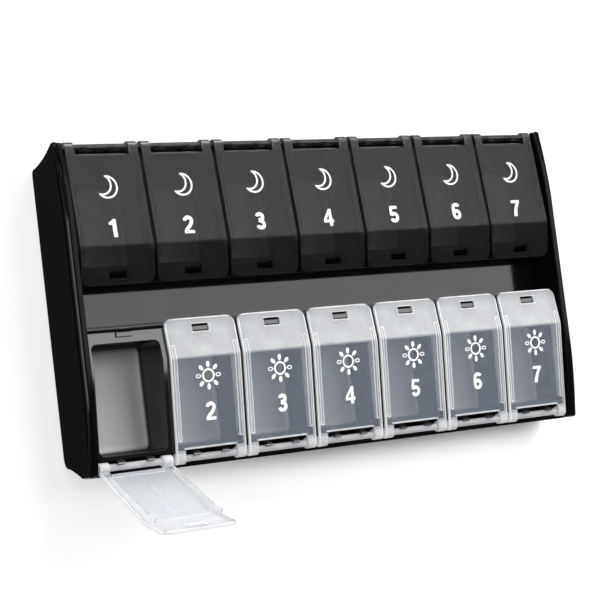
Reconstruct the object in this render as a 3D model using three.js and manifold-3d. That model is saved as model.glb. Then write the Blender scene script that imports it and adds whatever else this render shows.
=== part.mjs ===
// A seven-day, twice-a-day pill organizer, lying on its back.
//
// A gloss shell holds two strips of seven wells, a glossy channel between them and a plate at
// each end. Every well has a lid that turns on a rod clipped to the outer edge of its strip.
//
// Lengths are in millimetres. X runs along the organizer from the first day to the last, Y
// runs from the morning row to the evening row, and Z is the way the open wells face. The
// origin is the centre of the underside of the shell.
import * as THREE from 'three';
import { mergeVertices } from 'three/addons/utils/BufferGeometryUtils.js';
import Module from 'manifold-3d';

const wasm = await Module();
wasm.setup();

// Driving dimensions: the compartments
const dayCount = 7;
const pitch = 31;                // from one day to the next
const lidGap = 1.5;              // between neighbouring lids
const webThickness = 3.2;        // between neighbouring wells
const hingeSpan = 117;           // between the hinge axes of the two rows
const tabGap = 14.4;             // between the two rows of tabs
const hingeHeight = 21;          // underside of the shell to the top of the hinge knuckles
const rimRise = 4.7;             // how far the end walls arch above the hinges
const wellCorner = 2.2;          // rounding of a well's side edges
const wellFillet = 4;            // rounding where a well's walls meet its floor
const wellWall = 1.5;            // thickness of a strip's long walls
const wellFloorThickness = 1.3;
const coreSlotWidth = 1.2;       // hollow under the web between two wells
const coreSlotCover = 4;         // web left above that hollow
const runnerWidth = 3;           // feet along the underside of a strip
const runnerHeight = 0.7;

// The shell and the plates inside its ends
const shellWall = 1.5;
const shellEndWall = 1.3;
const shellFloor = 1.5;
const shellEdge = 1.1;           // rounding of the outer edges of the end walls
const uprightCorner = 5;         // rounding where the morning wall meets the underside
const leaningCorner = 3;         // rounding where the evening wall meets the underside
const shellProud = 0.7;          // shell face beyond the hinge axis
const shellWallDrop = 1;         // top of the long walls below the hinge knuckles
const shellEar = 1.4;            // rounding of the end walls at the hinges
const plateEar = 2.2;              // rounding of the end plates at the hinges
const earRise = 0.9;             // top of the end walls above the hinge knuckles at the ears
const archRun = 30;              // length over which the arch rises
const slopeInset = 7.4;          // how far the evening wall leans in at its foot
const slopeBow = 2.6;            // how far that leaning wall is hollow
const endPlate = 2;
const endClearance = 1.2;        // between an end plate and the nearest lid
const seam = 0.3;                // between pieces that sit against each other
const trayGap = 1.8;             // between the shell's long walls and the strips

// The lids
const tabLength = 14.4;          // fold to the end of the tab
const tabDrop = 3.9;             // how far the tab falls from the plate towards its end
const lidTilt = 6.3;             // degrees that a closed lid's plate rises from its hinge
const lidThickness = 1.4;
const lidRimGap = 0.3;           // between a closed lid and the strip under it
const tabCorner = 3.5;
const catchWidth = 7.2;          // slot for the catch
const catchDepth = 2.8;
const catchInset = 2.4;          // end of the tab to that slot
const catchClearance = 0.35;
const ribThickness = 1.2;        // ribs under a lid that centre it in its well
const ribHeight = 2.6;           // at the fold
const ribStartHeight = 1;        // at the end by the hinge
const ribClearance = 0.4;        // side of a well to the rib in it
const ribStart = 6.5;            // hinge axis to the start of a rib
const ribPastFold = 5;
const openAngle = 114;           // degrees that the first morning lid stands open

// The hinges
const knuckleRadius = 2.1;
const rodRadius = 1.3;
const knuckleWidth = 3.85;
const plateEdge = 3.3;           // hinge axis to the edge of the lid's plate
const clipWidth = 3;
const clipInset = 4.9;           // knuckle to the middle of the clip beside it
const clipBore = 1.5;            // radius of the clip's inside
const clipWall = 0.9;
const clipMouth = 100;           // degrees, the gap that the rod snaps in through

// The strips' edge at the channel, and the channel
const tabOverhang = 6.8;         // how far the tabs reach past the wells
const ledgeInset = 2.8;          // end of the tabs to the edge of the ledge under them
const ledgeThickness = 1.5;
const channelDepth = 15.5;       // top of the arch to the channel's floor
const channelFillet = 6;
const channelWall = 1.4;
const channelLegCount = 5;
const channelLegThickness = 1.8;
const channelLegInset = 3;       // side of the channel to the side of its legs

// The feet
const footRadius = 5;
const footHeight = 1.3;
const footProud = 0.8;           // how far a foot stands out of the shell
const footInsetX = 14;           // end of the shell to the middle of a foot
const footInsetY = 15;           // side of the shell to the middle of a foot

// Cutting bodies run past the faces they cut by this much
const overrun = 6;
// Joined bodies share this much
const lap = 0.2;

const arcSteps = 4;
const archSteps = 6;
const knuckleSides = 16;
const rodSides = 12;
const clipSteps = 6;
const footSides = 24;
const bevelSteps = 2;

// Places worked out from the dimensions
const hingeY = hingeSpan / 2;
const wellWidth = pitch - webThickness;
const rimHeight = hingeHeight + rimRise;
const axisZ = hingeHeight - knuckleRadius;
const tilt = THREE.MathUtils.degToRad(lidTilt);
const lidWidth = pitch - lidGap;
const lidReach = (hingeY - tabGap / 2) / Math.cos(tilt);
const foldReach = lidReach - tabLength;
const lidTop = knuckleRadius;
const lidUnderside = lidTop - lidThickness;
const tabTop = lidTop - tabDrop;
const tabSlope = tabDrop / tabLength;
const hingeWindow = lidWidth - 2 * knuckleWidth;
const plateX = (dayCount * pitch - lidGap) / 2 + endClearance;
const shellEndX = plateX + endPlate + seam;
const halfLength = shellEndX + shellEndWall;
const shellY = hingeY + shellProud;
const shellWallTop = axisZ - knuckleRadius - shellWallDrop;
const stripX = plateX - seam;
const stripInset = shellWall + trayGap;
const runnerBottom = shellFloor + seam;
const stripBottom = runnerBottom + runnerHeight;
const wellFloorZ = stripBottom + wellFloorThickness;
const wellInnerY = tabGap / 2 + tabOverhang;
const stripInnerY = wellInnerY - wellWall;
const ledgeY = tabGap / 2 + ledgeInset;
const channelY = stripInnerY - seam;
const channelFloorZ = rimHeight - channelDepth;

// The two rows: which side of the organizer, and how far that side of the shell leans in
const morning = { side: -1, lean: 0, bow: 0, corner: uprightCorner };
const evening = { side: 1, lean: slopeInset, bow: slopeBow, corner: leaningCorner };

const materials = {
  shell: new THREE.MeshStandardMaterial({ color: 0x0b0b0d, roughness: 0.12, metalness: 0 }),
  strip: new THREE.MeshStandardMaterial({ color: 0x121214, roughness: 0.3, metalness: 0 }),
  smoked: new THREE.MeshStandardMaterial({
    color: 0x2a2a2e, roughness: 0.2, metalness: 0, transparent: true, opacity: 0.8,
  }),
  frosted: new THREE.MeshStandardMaterial({
    color: 0xd5d9de, roughness: 0.35, metalness: 0, transparent: true, opacity: 0.55,
  }),
  rubber: new THREE.MeshStandardMaterial({ color: 0x1a1a1a, roughness: 0.9, metalness: 0 }),
};

// Solids from geometry, and geometry from solids
function solid(geometry) {
  geometry.deleteAttribute('normal');
  geometry.deleteAttribute('uv');
  const welded = mergeVertices(geometry);
  const vertProperties = Float32Array.from(welded.attributes.position.array);
  const triVerts = Uint32Array.from(welded.index.array);
  return new wasm.Manifold(new wasm.Mesh({ numProp: 3, vertProperties, triVerts }));
}

function geometryOf(manifold) {
  const mesh = manifold.getMesh();
  const geometry = new THREE.BufferGeometry();
  geometry.setAttribute('position', new THREE.BufferAttribute(mesh.vertProperties, 3));
  geometry.setIndex(new THREE.BufferAttribute(mesh.triVerts, 1));
  geometry.computeVertexNormals();
  return geometry;
}

function box(low, high) {
  const size = high.map((value, i) => value - low[i]);
  const geometry = new THREE.BoxGeometry(...size);
  geometry.translate(...low.map((value, i) => value + size[i] / 2));
  return solid(geometry);
}

// An outline in (Y, Z) drawn out along X between two places, with its end edges rounded
function alongX(points, fromX, toX, rounding = 0) {
  const geometry = new THREE.ExtrudeGeometry(new THREE.Shape(points), {
    depth: toX - fromX - 2 * rounding,
    bevelEnabled: rounding > 0,
    bevelThickness: rounding,
    bevelSize: rounding,
    bevelOffset: -rounding,
    bevelSegments: bevelSteps,
    steps: 1,
  });
  const turn = new THREE.Matrix4().makeBasis(
    new THREE.Vector3(0, 1, 0), new THREE.Vector3(0, 0, 1), new THREE.Vector3(1, 0, 0),
  );
  geometry.applyMatrix4(turn);
  geometry.translate(fromX + rounding, 0, 0);
  return solid(geometry);
}

function rodAlongX(radius, fromX, toX, sides) {
  const geometry = new THREE.CylinderGeometry(radius, radius, toX - fromX, sides);
  geometry.rotateZ(Math.PI / 2);
  geometry.translate((fromX + toX) / 2, 0, 0);
  return solid(geometry);
}

function point(y, z) {
  return new THREE.Vector2(y, z);
}

// One side of the organizer's outline, from the underside up to a height, set in by a
// distance. The points are for the evening side, and the caller mirrors the morning side.
function sideOutline(row, inset, bottom, top, corner, ear = 0) {
  const upper = shellY - inset;
  const foot = upper - row.lean;
  const path = new THREE.Path();
  path.moveTo(foot - corner, bottom);
  path.quadraticCurveTo(foot, bottom, foot, bottom + corner);
  if (row.lean > 0) {
    const bendY = (foot + upper) / 2 - row.bow;
    const bendZ = (row.corner + hingeHeight) / 2;
    path.quadraticCurveTo(bendY, bendZ, upper, hingeHeight - shellEar);
  }
  if (ear > 0) {
    path.lineTo(upper, top - ear);
    path.quadraticCurveTo(upper, top, upper - ear, top);
  } else {
    path.lineTo(upper, top);
  }
  return path.getPoints(arcSteps);
}

function mirrored(points) {
  return points.map((p) => point(-p.x, p.y)).reverse();
}

// The whole outline of the organizer seen from its end, with its top arched
function endOutline(inset, bottom, ear) {
  const earTop = hingeHeight + earRise;
  const start = shellY - inset - ear;
  const arch = new THREE.Path();
  arch.moveTo(start, earTop);
  arch.quadraticCurveTo(start - archRun / 2, rimHeight, start - archRun, rimHeight);
  const rise = arch.getPoints(archSteps).slice(1);
  return [
    ...sideOutline(evening, inset, bottom, earTop, evening.corner, ear),
    ...rise,
    ...mirrored(rise),
    ...mirrored(sideOutline(morning, inset, bottom, earTop, morning.corner, ear)),
  ];
}

function makeShell() {
  const wall = (row) => sideOutline(row, shellWall, shellFloor, rimHeight + overrun, row.corner);
  const hollow = [...wall(evening), ...mirrored(wall(morning))];
  let shell = alongX(endOutline(0, 0, shellEar), -halfLength, halfLength, shellEdge)
    .subtract(alongX(hollow, -shellEndX, shellEndX));
  const notchY = shellY - shellWall - slopeInset;
  for (const side of [-1, 1]) {
    const nearY = side > 0 ? notchY : -shellY - overrun;
    const farY = side > 0 ? shellY + overrun : -notchY;
    shell = shell.subtract(box(
      [-shellEndX, nearY, shellWallTop], [shellEndX, farY, rimHeight + overrun],
    ));
  }
  for (const [x, y] of footPlaces()) {
    const recess = new THREE.CylinderGeometry(
      footRadius + seam, footRadius + seam, footProud * 2, footSides,
    );
    recess.rotateX(Math.PI / 2);
    recess.translate(x, y, 0);
    shell = shell.subtract(solid(recess));
  }
  return shell;
}

function makeEndPlate(side) {
  const outline = endOutline(shellWall + seam, runnerBottom, plateEar);
  const fromX = side > 0 ? plateX : -plateX - endPlate;
  return alongX(outline, fromX, fromX + endPlate);
}

// The middle of each day along X
function dayX(day) {
  return (day - (dayCount - 1) / 2) * pitch;
}

// A place on a closed lid's section, from its reach and its height in the lid's own frame
function closedLid(reach, height) {
  const away = reach * Math.cos(tilt) - height * Math.sin(tilt);
  const up = reach * Math.sin(tilt) + height * Math.cos(tilt);
  return point(hingeY - away, axisZ + up);
}

// The height of a closed lid's tab at a distance from the channel's middle
function tabHeight(y, height) {
  const fold = closedLid(foldReach, height);
  const end = closedLid(lidReach, height - tabDrop);
  return end.y + ((y - end.x) * (fold.y - end.y)) / (fold.x - end.x);
}

// What lies under the closed lids of a row: it rises with their plates and falls with their tabs
function underLids() {
  const hingeEdge = closedLid(0, lidUnderside - lidRimGap);
  const fold = closedLid(foldReach, lidUnderside - lidRimGap);
  return [
    point(ledgeY, stripBottom),
    point(shellY, stripBottom),
    point(shellY, hingeEdge.y),
    hingeEdge,
    fold,
    point(ledgeY, tabHeight(ledgeY, lidUnderside - lidRimGap)),
  ];
}

// The section of a strip before its top is shaped, and the ledge that it holds over the channel
function stripSection(row) {
  return [
    point(stripInnerY, stripBottom),
    ...sideOutline(row, stripInset, stripBottom, rimHeight + overrun, wellFillet),
    point(ledgeY, rimHeight + overrun),
    point(ledgeY, ledgeBottom()),
    point(stripInnerY, ledgeBottom()),
  ];
}

function ledgeBottom() {
  return tabHeight(ledgeY, lidUnderside - lidRimGap) - ledgeThickness;
}

// The section of a well, open at the top
function wellSection(row) {
  const path = new THREE.Path();
  path.moveTo(wellInnerY, rimHeight + overrun);
  path.lineTo(wellInnerY, wellFloorZ + wellFillet);
  path.quadraticCurveTo(wellInnerY, wellFloorZ, wellInnerY + wellFillet, wellFloorZ);
  return [
    ...path.getPoints(arcSteps),
    ...sideOutline(row, stripInset + wellWall, wellFloorZ, rimHeight + overrun, wellFillet),
  ];
}

// A clip for the hinge rod: a ring with a mouth, and a web that carries it from the strip
function makeClip(fromX) {
  const mouth = THREE.MathUtils.degToRad(clipMouth);
  const start = (Math.PI + mouth) / 2;
  const end = start + 2 * Math.PI - mouth;
  const outer = clipBore + clipWall;
  const ring = [];
  for (let i = 0; i <= clipSteps; i += 1) {
    const angle = start + ((end - start) * i) / clipSteps;
    ring.push(point(outer * Math.cos(angle), outer * Math.sin(angle)));
  }
  for (let i = clipSteps; i >= 0; i -= 1) {
    const angle = start + ((end - start) * i) / clipSteps;
    ring.push(point(clipBore * Math.cos(angle), clipBore * Math.sin(angle)));
  }
  const wallY = shellProud - stripInset - wellWall;
  const web = box(
    [fromX, wallY, -outer], [fromX + clipWidth, -clipBore, 0],
  );
  return alongX(ring, fromX, fromX + clipWidth).add(web).translate(0, hingeY, axisZ);
}

// The catch that shows in the slot of a closed lid
function makeCatch(x) {
  const slotEnd = closedLid(lidReach - catchInset, tabTop);
  const slotStart = closedLid(lidReach - catchInset - catchDepth, tabTop);
  const nearY = Math.max(slotEnd.x + catchClearance, ledgeY);
  const farY = slotStart.x - catchClearance;
  const half = catchWidth / 2 - catchClearance;
  const bottom = tabHeight(ledgeY, lidUnderside - lidRimGap) - lap;
  const top = tabHeight(nearY, lidTop) - lidRimGap;
  return box([x - half, nearY, bottom], [x + half, farY, top]);
}

function makeStrip(row) {
  let strip = alongX(stripSection(row), -stripX, stripX)
    .intersect(alongX(underLids(), -stripX, stripX));
  for (let day = 0; day < dayCount; day += 1) {
    const x = dayX(day);
    const half = wellWidth / 2;
    strip = strip.subtract(alongX(wellSection(row), x - half, x + half, wellCorner));
  }
  for (let day = 0; day < dayCount; day += 1) {
    strip = strip.add(makeCatch(dayX(day)));
    for (const side of [-1, 1]) {
      const middle = dayX(day) + side * (hingeWindow / 2 - clipInset);
      strip = strip.add(makeClip(middle - clipWidth / 2));
    }
  }
  for (let gap = 0; gap < dayCount - 1; gap += 1) {
    const x = dayX(gap) + pitch / 2;
    strip = strip.subtract(box(
      [x - coreSlotWidth / 2, stripInnerY + wellWall, stripBottom - overrun],
      [x + coreSlotWidth / 2, hingeY - wellFillet - slopeInset, axisZ - coreSlotCover],
    ));
  }
  const runnerY = [stripInnerY + wellFillet, hingeY - slopeInset - wellFillet * 2 - runnerWidth];
  for (const y of runnerY) {
    strip = strip.add(box(
      [-stripX, y, runnerBottom], [stripX, y + runnerWidth, stripBottom + lap],
    ));
  }
  return row.side > 0 ? strip : strip.rotate([0, 0, 180]);
}

// The glossy channel between the rows, standing on cross legs
function makeChannel() {
  const wallTop = ledgeBottom() - seam;
  const halfSection = (half, floorZ, fillet) => {
    const path = new THREE.Path();
    path.moveTo(half - fillet, floorZ);
    path.quadraticCurveTo(half, floorZ, half, floorZ + fillet);
    path.lineTo(half, wallTop);
    return path.getPoints(arcSteps * 2);
  };
  const outer = halfSection(channelY, channelFloorZ - channelWall, channelFillet);
  const inner = halfSection(channelY - channelWall, channelFloorZ, channelFillet);
  let channel = alongX(
    [...outer, ...inner.slice().reverse(), ...mirrored(inner.slice().reverse()), ...mirrored(outer)],
    -stripX, stripX,
  );
  const legY = channelY - channelLegInset;
  for (let i = 0; i < channelLegCount; i += 1) {
    const share = i / (channelLegCount - 1);
    const fromX = -stripX + share * (2 * stripX - channelLegThickness);
    channel = channel.add(box(
      [fromX, -legY, runnerBottom],
      [fromX + channelLegThickness, legY, channelFloorZ - channelWall / 2],
    ));
  }
  return channel;
}

// A lid, with its hinge axis on X and its tab towards +Y
function makeLid() {
  const half = lidWidth / 2;
  let lid = alongX([
    point(plateEdge, lidUnderside), point(foldReach, lidUnderside),
    point(lidReach, tabTop - lidThickness), point(lidReach, tabTop),
    point(foldReach, lidTop), point(plateEdge, lidTop),
  ], -half, half);

  const face = new THREE.Shape();
  face.moveTo(-half, 0);
  face.lineTo(half, 0);
  face.lineTo(half, lidReach - tabCorner);
  face.quadraticCurveTo(half, lidReach, half - tabCorner, lidReach);
  face.lineTo(-half + tabCorner, lidReach);
  face.quadraticCurveTo(-half, lidReach, -half, lidReach - tabCorner);
  const trim = new THREE.ExtrudeGeometry(face, {
    depth: 2 * overrun, bevelEnabled: false, curveSegments: arcSteps,
  });
  trim.translate(0, 0, -overrun);
  lid = lid.intersect(solid(trim));

  for (const side of [-1, 1]) {
    const fromX = side > 0 ? hingeWindow / 2 : -half;
    const toX = side > 0 ? half : -hingeWindow / 2;
    const arm = box([fromX, 0, lidUnderside], [toX, plateEdge + lap, lidTop]);
    lid = lid.add(rodAlongX(knuckleRadius, fromX, toX, knuckleSides)).add(arm);
  }
  const rodEnd = hingeWindow / 2 + lap;
  lid = lid.add(rodAlongX(rodRadius, -rodEnd, rodEnd, rodSides));

  const slotEnd = lidReach - catchInset;
  lid = lid.subtract(box(
    [-catchWidth / 2, slotEnd - catchDepth, -overrun], [catchWidth / 2, slotEnd, overrun],
  ));

  const ribEnd = foldReach + ribPastFold;
  const ribTop = lidUnderside + lap;
  const ribBottom = lidUnderside - ribHeight;
  const endDrop = tabSlope * ribPastFold;
  const rib = [
    point(ribStart, lidUnderside - ribStartHeight), point(foldReach, ribBottom),
    point(ribEnd, ribBottom - endDrop),
    point(ribEnd, ribTop - endDrop), point(foldReach, ribTop), point(ribStart, ribTop),
  ];
  const ribX = wellWidth / 2 - ribClearance;
  for (const fromX of [-ribX, ribX - ribThickness]) {
    lid = lid.add(alongX(rib, fromX, fromX + ribThickness));
  }
  return lid;
}

function footPlaces() {
  const x = halfLength - footInsetX;
  const nearY = -shellY + footInsetY;
  const farY = shellY - slopeInset - footInsetY;
  return [[-x, nearY], [x, nearY], [-x, farY], [x, farY]];
}

const organizer = new THREE.Group();

function addPiece(name, geometry, material) {
  const mesh = new THREE.Mesh(geometry, material);
  mesh.name = name;
  organizer.add(mesh);
  return mesh;
}

addPiece('outer_shell', geometryOf(makeShell()), materials.shell);
addPiece('left_end_plate', geometryOf(makeEndPlate(-1)), materials.shell);
addPiece('right_end_plate', geometryOf(makeEndPlate(1)), materials.shell);
addPiece('morning_well_strip', geometryOf(makeStrip(morning)), materials.strip);
addPiece('evening_well_strip', geometryOf(makeStrip(evening)), materials.strip);
addPiece('centre_channel', geometryOf(makeChannel()), materials.shell);

const lidGeometry = geometryOf(makeLid());
for (let day = 0; day < dayCount; day += 1) {
  const lid = addPiece(`morning_lid_${day + 1}`, lidGeometry, materials.frosted);
  lid.position.set(dayX(day), -hingeY, axisZ);
  lid.rotation.x = tilt + (day === 0 ? THREE.MathUtils.degToRad(openAngle) : 0);
}
for (let day = 0; day < dayCount; day += 1) {
  const lid = addPiece(`evening_lid_${day + 1}`, lidGeometry, materials.smoked);
  lid.position.set(dayX(day), hingeY, axisZ);
  lid.rotation.set(-tilt, 0, Math.PI);
}

footPlaces().forEach(([x, y], i) => {
  const foot = new THREE.CylinderGeometry(footRadius, footRadius, footHeight, footSides);
  foot.rotateX(Math.PI / 2);
  addPiece(`rubber_foot_${i + 1}`, foot, materials.rubber)
    .position.set(x, y, footHeight / 2 - footProud);
});

export default organizer;
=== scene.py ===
"""The looks of a seven-day, twice-a-day pill organizer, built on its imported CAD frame.

X runs from the first day to the last, Y from the morning row to the evening row, and Z is the
way the wells open. Sizes are in millimetres and become metres as the meshes are made. The
stage at the end is in metres.
"""
import math

import bpy
import bmesh
from mathutils import Matrix, Vector


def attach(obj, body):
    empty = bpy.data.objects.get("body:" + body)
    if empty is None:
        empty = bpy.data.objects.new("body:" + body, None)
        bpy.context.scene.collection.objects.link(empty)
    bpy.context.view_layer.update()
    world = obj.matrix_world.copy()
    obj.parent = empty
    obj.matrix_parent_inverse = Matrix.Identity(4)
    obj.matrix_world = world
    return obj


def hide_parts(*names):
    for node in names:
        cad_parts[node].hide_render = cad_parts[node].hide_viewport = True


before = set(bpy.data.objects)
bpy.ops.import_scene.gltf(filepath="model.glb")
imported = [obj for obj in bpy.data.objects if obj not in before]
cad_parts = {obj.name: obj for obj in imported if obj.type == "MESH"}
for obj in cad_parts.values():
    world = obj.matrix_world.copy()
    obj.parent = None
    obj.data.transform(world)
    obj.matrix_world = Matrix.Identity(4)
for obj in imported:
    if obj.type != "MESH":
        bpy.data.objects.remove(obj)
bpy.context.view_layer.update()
scene = bpy.context.scene

MM = 0.001
DAYS = 7
PITCH = 31
CLEAR = 6                    # how far a cutting shape reaches past what it cuts
SEAM = 0.3                   # the gap between neighbouring mouldings

# Hinges
HINGE_Y = 58.5
AXIS_Z = 18.9
HINGE_TOP = 21
KNUCKLE = 2.1                # radius
KNUCKLE_WIDTH = 3.85
ROD = 1.3                    # radius

# Shell
HALF_LENGTH = 112.55
SHELL_Y = 59.2
SHELL_WALL = 1.5
SHELL_FLOOR = 1.5
SHELL_WALL_TOP = 15.8        # of the long walls, under the hinges
SHELL_END_X = 111.25         # inner faces of the end walls
SHELL_EAR = 1.4              # rounding of an end wall's two upper corners
EAR_TOP = 21.9
RIM = 25.7
ARCH_RUN = 30                # from an ear to the level middle of the rim
END_ROUNDING = 2.4           # of an end wall's outer edges
EAR_ROUNDING = 0.3           # share of it at the ears and below

# The lip on the shell's wall under the evening hinges, as (y, z)
LIP = [(54.2, 12.9), (59, 14.7), (59, SHELL_WALL_TOP), (55.5, SHELL_WALL_TOP), (53.5, 13.6)]

# Long walls. The evening wall leans in towards its foot and bows. Its outer face leans less and
# comes further out, as the morning wall's does too.
EVENING_LEAN = 7.4
EVENING_BOW = 2.6
EVENING_CORNER = 3
EVENING_FULL = 19.6          # the height at which the leaning face ends
EVENING_OUTER_LEAN = 4.7
EVENING_OUTER_BOW = 1.6
EVENING_OUT = 1.5
MORNING_BOW = -0.9
MORNING_CORNER = 5
MORNING_FULL = 14.5
MORNING_OUTER_LEAN = 1.3
MORNING_OUT = 2.4

# End plates
PLATE_X = 108.95
END_PLATE = 2                # thickness
END_EAR = 2.2
PLATE_BACK = 0.3             # from the shell's ears to the plate's
PLATE_ROUNDING = 0.35

# Feet
FOOT_IN = (14, 15)           # from the shell's ends, and from the foot of each long wall
FOOT_RECESS = (5.3, 0.8)     # radius, depth
FOOT_PROFILE = [(4.5, -0.8), (4.8, -0.7), (4.96, -0.45), (5, -0.2), (5, 0.4), (4.9, 0.5)]

# Well strips
STRIP_X = 108.65
STRIP_INSET = 3.3
STRIP_BOTTOM = 2.5
RUNNER_BOTTOM = 1.8
RUNNERS_Y = (16.5, 40.1)
RUNNER_WIDTH = 3
WELL_FLOOR = 3.8
WELL_INNER_Y = 14.0
WELL_HALF = 13.9
WELL_WALL = 1.5
WELL_FILLET = 4
WELL_CORNER = 2.2
GROOVE_HALF = 0.6            # the open grooves between neighbouring wells
GROOVE_TOP = AXIS_Z - 4
GROOVE_OUTER_Y = HINGE_Y - 11.4
LEDGE_Y = 10.0
LEDGE_THICK = 1.5

# Hinge clips
CLIP_X = 6                   # from the middle of a well
CLIP_WIDTH = 3
CLIP_OUTER = 2.4             # radii
CLIP_BORE = 1.5
CLIP_ARC = (115, 300)        # the ring's ends, in degrees from +Y towards +Z

# Channel
CHANNEL_Y = 12.2
CHANNEL_FLOOR = 10.2
CHANNEL_WALL = 1.4
CHANNEL_CURVE = 6
CHANNEL_RIBS = 5
CHANNEL_RIB = 1.8            # thickness

# Lids. A lid's own Y runs from its hinge to the end of its tab, and its own Z off its plate.
LID_HALF = 14.75
LID_REACH = 51.61
FOLD_REACH = 37.21
FOLD_CURVE = 1.2
LID_TOP = 2.1
LID_UNDER = 0.7
LID_THICK = 1.4
TAB_DROP = 3.9
TAB_LENGTH = 14.4
TAB_CORNER = 3.5
PLATE_EDGE = 3.3             # where the plate begins between the knuckles
SLOT_HALF = 3.6              # the slot for the catch
SLOT_START = 5.2             # from the tab's end
SLOT_END = 2.4
RIB_X = 12.3                 # the two ribs under the plate
RIB_WIDTH = 1.2
RIB_START = 6.5
RIB_PAST_FOLD = 5
RIB_DEPTH = 2.6
TILT = math.radians(6.3)
OPEN_ANGLE = math.radians(114)

# Catches
UNDER_GAP = LID_UNDER - 0.3  # the strip's top, under a closed lid
CATCH_GAP = 0.35
CATCH_HALF = 3.25
CATCH_BELOW = 0.9            # under the tab's top


# ---------------------------------------------------------------- material nodes

def material(name):
    """A new material and its empty node tree."""
    made = bpy.data.materials.new(name)
    made.use_nodes = True
    made.node_tree.nodes.clear()
    return made, made.node_tree


def feed(tree, node, inputs):
    """Sets a node's inputs, each to a number or colour or to another node's output."""
    for key, value in inputs.items():
        if isinstance(value, bpy.types.NodeSocket):
            tree.links.new(value, node.inputs[key])
        else:
            node.inputs[key].default_value = value
    return node


def add_node(tree, kind, inputs):
    return feed(tree, tree.nodes.new(kind), inputs)


def own_place(tree):
    return tree.nodes.new("ShaderNodeTexCoord").outputs["Object"]


def own_axes(tree):
    return add_node(tree, "ShaderNodeSeparateXYZ", {0: own_place(tree)}).outputs


def noise(tree, pattern):
    """Noise that stays with the piece, from its own coordinates."""
    scale, detail, rough = pattern
    return add_node(tree, "ShaderNodeTexNoise", {
        "Vector": own_place(tree), "Scale": scale, "Detail": detail, "Roughness": rough,
    }).outputs["Fac"]


def spread(tree, value, low, high, start=0.3, end=0.7):
    """Low to high, as the value goes from start to end."""
    return add_node(tree, "ShaderNodeMapRange", {
        "Value": value, "From Min": start, "From Max": end, "To Min": low, "To Max": high,
    }).outputs["Result"]


def calc(tree, operation, *values, clamp=False):
    node = add_node(tree, "ShaderNodeMath", dict(enumerate(values)))
    node.operation = operation
    node.use_clamp = clamp
    return node.outputs[0]


def blend(tree, share, first, second):
    """The first colour, and the second in the given share."""
    node = tree.nodes.new("ShaderNodeMix")
    node.data_type = "RGBA"
    return feed(tree, node, {0: share, 6: first, 7: second}).outputs[2]


def bump(tree, height, strength, distance, over=None):
    """Relief from a height, on top of other relief if that is given."""
    inputs = {"Height": height, "Strength": strength, "Distance": distance}
    if over is not None:
        inputs["Normal"] = over
    return add_node(tree, "ShaderNodeBump", inputs).outputs["Normal"]


def opaque(colour, gain=1.0):
    return (*[c * gain for c in colour], 1)


def principled(tree, inputs):
    shader = add_node(tree, "ShaderNodeBsdfPrincipled", inputs)
    add_node(tree, "ShaderNodeOutputMaterial", {"Surface": shader.outputs[0]})


# ---------------------------------------------------------------- materials

# Noise patterns, as scale, detail and roughness
HAZE = (45, 4, 0.6)
FLOW = (28, 1, 0.4)
WELL_GRAIN = (5200, 2, 0.6)
CLOUD = (120, 4, 0.6)
LID_GRAIN = (2600, 3, 0.6)
SPECK = (900, 3, 0.6)
RUBBER_GRAIN = (1800, 4, 0.7)

# Painted sheen: the light grey of the wells' floors stands in for the light they reflect
PAINTED_FLOOR_SHEEN = (0.36, 0.36, 0.365)
SATIN_ROUGH = 0.5

# The haze at a lid's marks, as shares of the haze along its edges
# In the frosted lids' white haze these lines are partly painted highlight, for the light the edges
# catch
RIB_LINE_HAZE_AND_GLINT = 0.8
RIB_HAZE = 0.35
SLOT_HAZE_AND_GLINT = 0.8
KNUCKLE_HAZE_AND_GLINT = 0.65
RIB_HAZE_END = 42            # on the lid's own Y
TAB_END_HAZE = 0.84          # share of the tab's haze that is left at its end


def black_plastic(name, colour, level, rough, satin_and_sheen_floor=None):
    """Injection-moulded black plastic, with faint flow waves and hazy patches. With the height of a
    satin floor, the faces below it get a rougher satin finish and a light grey that is painted
    sheen, and the piece gets a fine grain all over."""
    made, tree = material(name)
    haze = noise(tree, HAZE)
    roughness = spread(tree, haze, *rough)
    shade = blend(tree, haze, opaque(colour, 0.8), opaque(colour, 1.3))
    normal = bump(tree, noise(tree, FLOW), 0.03, 0.0006)
    if satin_and_sheen_floor:
        start, end = (satin_and_sheen_floor + 0.2) * MM, (satin_and_sheen_floor + 1.2) * MM
        low = spread(tree, own_axes(tree)["Z"], 1, 0, start, end)
        roughness = calc(tree, "MAXIMUM", roughness, calc(tree, "MULTIPLY", low, SATIN_ROUGH))
        # Below the floor's height: a real satin roughness, and a light grey that is painted sheen
        shade = blend(tree, low, shade, opaque(PAINTED_FLOOR_SHEEN))
        normal = bump(tree, noise(tree, WELL_GRAIN), 0.04, 0.00005, normal)
    principled(tree, {
        "Base Color": shade, "Roughness": roughness, "Normal": normal,
        "IOR": 1.49, "Specular IOR Level": level,
    })
    return made


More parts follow.
